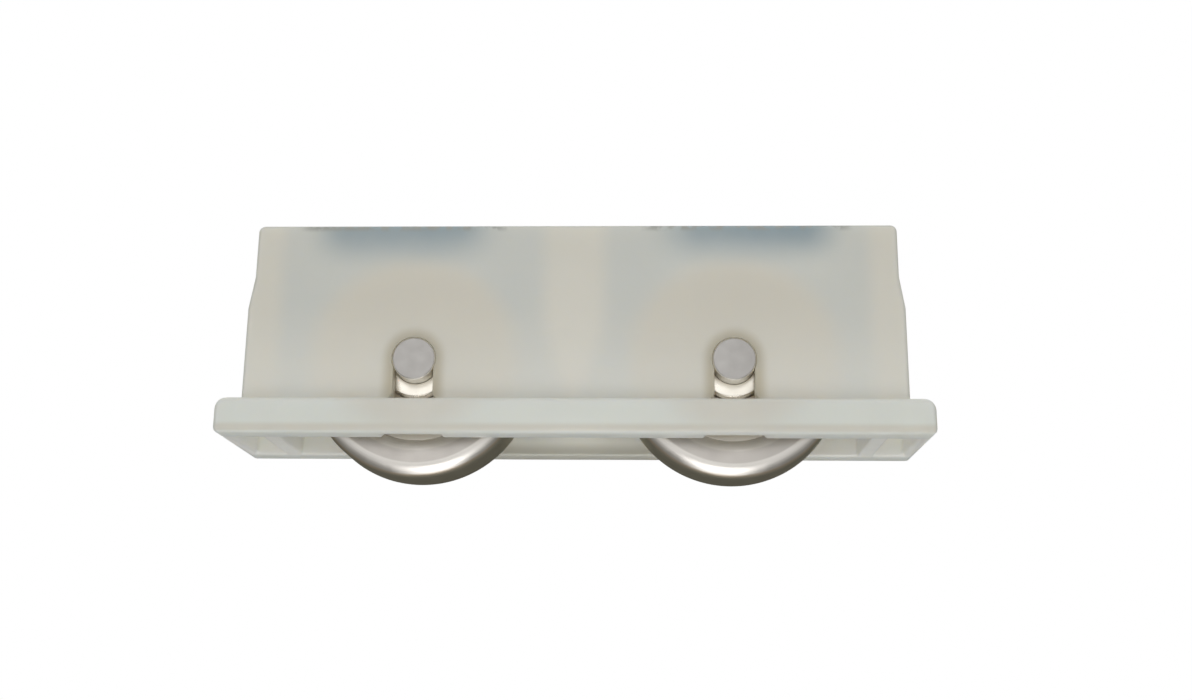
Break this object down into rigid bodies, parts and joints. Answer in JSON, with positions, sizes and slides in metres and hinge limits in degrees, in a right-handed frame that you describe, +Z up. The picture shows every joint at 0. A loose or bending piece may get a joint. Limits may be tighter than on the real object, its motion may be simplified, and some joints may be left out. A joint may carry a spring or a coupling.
{
  "type": "sliding door roller",
  "caption": "Snap-in twin-wheel roller for a sliding door: milky nylon housing with a seating flange, and ball-bearing steel wheels on pins.",
  "frame": {"origin": "centre of the footprint, on the track that the wheels stand on", "axes": "+X along the door, -Y to the front face, +Z up from the track into the door"},
  "size_m": [0.062, 0.0134, 0.0223],
  "materials": {
    "nylon": "milky translucent, satin as moulded",
    "wheel_steel": "turned and tumbled, plated",
    "race_steel": "ground",
    "ball_steel": "polished",
    "cage_steel": "pressed strip, satin",
    "shield_steel": "pressed sheet, satin",
    "pin_steel": "cropped bar with fine-turned ends"
  },
  "bodies": {
    "housing": {"housing": "nylon", "left_axle": "pin_steel", "right_axle": "pin_steel", "left_inner_race": "race_steel", "right_inner_race": "race_steel"},
    "left_wheel": {"left_wheel": "wheel_steel", "left_shield_front": "shield_steel", "left_shield_back": "shield_steel"},
    "left_balls": {"left_balls": "ball_steel", "left_cage_front": "cage_steel", "left_cage_back": "cage_steel"},
    "right_wheel": {"right_wheel": "wheel_steel", "right_shield_front": "shield_steel", "right_shield_back": "shield_steel"},
    "right_balls": {"right_balls": "ball_steel", "right_cage_front": "cage_steel", "right_cage_back": "cage_steel"}
  },
  "joints": [
    {"name": "left_wheel_spin", "type": "hinge", "parent": "housing", "child": "left_wheel", "pos_m": [-0.014, 0, 0.01], "axis": [0, 1, 0], "continuous": true},
    {"name": "left_ball_orbit", "type": "hinge", "parent": "housing", "child": "left_balls", "pos_m": [-0.014, 0, 0.01], "axis": [0, 1, 0], "continuous": true},
    {"name": "right_wheel_spin", "type": "hinge", "parent": "housing", "child": "right_wheel", "pos_m": [0.014, 0, 0.01], "axis": [0, 1, 0], "continuous": true},
    {"name": "right_ball_orbit", "type": "hinge", "parent": "housing", "child": "right_balls", "pos_m": [0.014, 0, 0.01], "axis": [0, 1, 0], "continuous": true}
  ],
  "couplings": [
    {"joint": "left_ball_orbit", "follows": "left_wheel_spin", "ratio": 0.63636},
    {"joint": "right_ball_orbit", "follows": "right_wheel_spin", "ratio": 0.63636}
  ]
}
